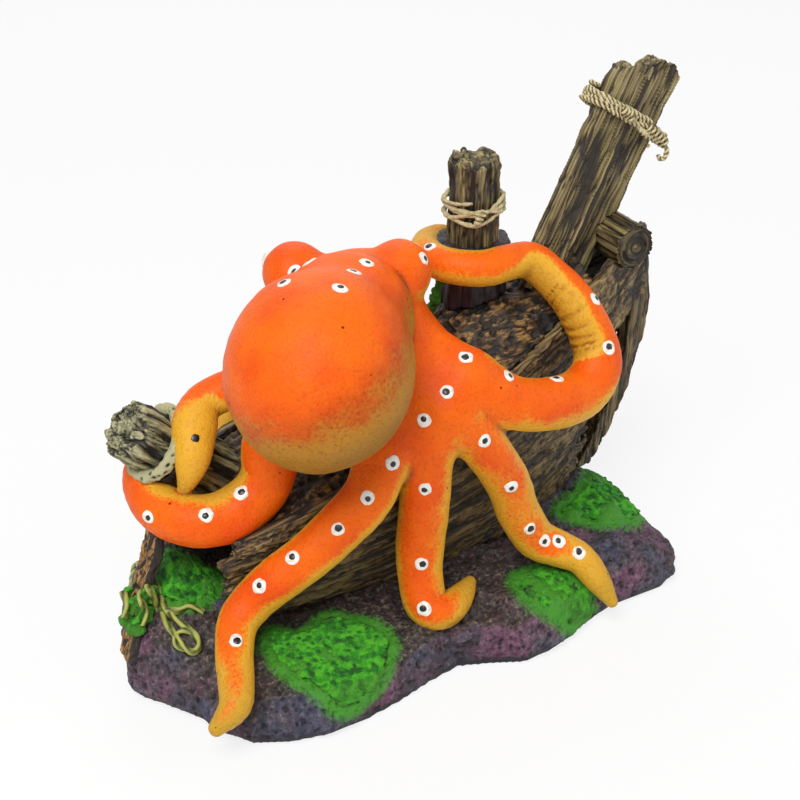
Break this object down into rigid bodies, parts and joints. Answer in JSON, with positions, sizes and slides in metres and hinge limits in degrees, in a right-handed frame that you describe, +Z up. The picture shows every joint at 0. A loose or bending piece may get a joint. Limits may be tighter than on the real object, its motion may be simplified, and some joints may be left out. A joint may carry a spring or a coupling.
{
  "type": "aquarium octopus ornament",
  "caption": "Painted resin tank ornament: an orange octopus draped over the bow of a sunken wooden boat on a mossy rock base",
  "frame": {"origin": "the middle of the ornament's outline, on the plane that it stands on", "axes": "+X along the wreck towards its bow, +Y away from the side that the picture shows, +Z up"},
  "size_m": [0.1767, 0.1012, 0.1409],
  "materials": {
    "octopus_skin": "painted resin, satin, orange fading to golden yellow",
    "spot_white": "painted white enamel",
    "spot_black": "painted black enamel",
    "hull_wood": "painted resin, weathered wood with dark grooves",
    "deck_wood": "painted resin, dark rotten wood",
    "post_wood": "painted resin, weathered wood with a green wash",
    "collar": "painted resin, dark purple brown",
    "rope": "painted resin, cream rope",
    "rock": "painted resin, pitted purple grey stone",
    "moss": "painted resin, rough green moss",
    "vine": "painted resin, yellow green"
  },
  "bodies": {
    "root": {"rock_base": "rock", "moss_front": "moss", "moss_left": "moss", "moss_right_front": "moss", "moss_right_rear": "moss", "moss_deck": "moss", "vine": "vine", "pebbles": "rock", "stem_post": "hull_wood", "stem_log": "post_wood", "deck": "deck_wood", "end_plank": "hull_wood", "strake_near_1": "hull_wood", "strake_near_2": "hull_wood", "strake_near_3": "hull_wood", "strake_near_4": "hull_wood", "strake_near_5": "hull_wood", "strake_near_6": "hull_wood", "strake_far_1": "hull_wood", "strake_far_2": "hull_wood", "strake_far_3": "hull_wood", "strake_far_4": "hull_wood", "strake_far_5": "hull_wood", "strake_far_6": "hull_wood", "bollard_stump": "deck_wood", "bollard_right": "post_wood", "bollard_left": "post_wood", "collar_left": "collar", "timber_wide": "post_wood", "timber_side": "post_wood", "lashing_right": "rope", "lashing_left": "rope", "lashing_timbers": "rope", "head": "octopus_skin", "mantle": "octopus_skin", "eye_left": "spot_white", "eye_right": "spot_white", "arm_1": "octopus_skin", "arm_2": "octopus_skin", "arm_3": "octopus_skin", "arm_4": "octopus_skin", "arm_5": "octopus_skin", "arm_6": "octopus_skin", "arm_7": "octopus_skin", "arm_8": "octopus_skin", "spots_white": "spot_white", "spots_black": "spot_black"}
  },
  "joints": []
}
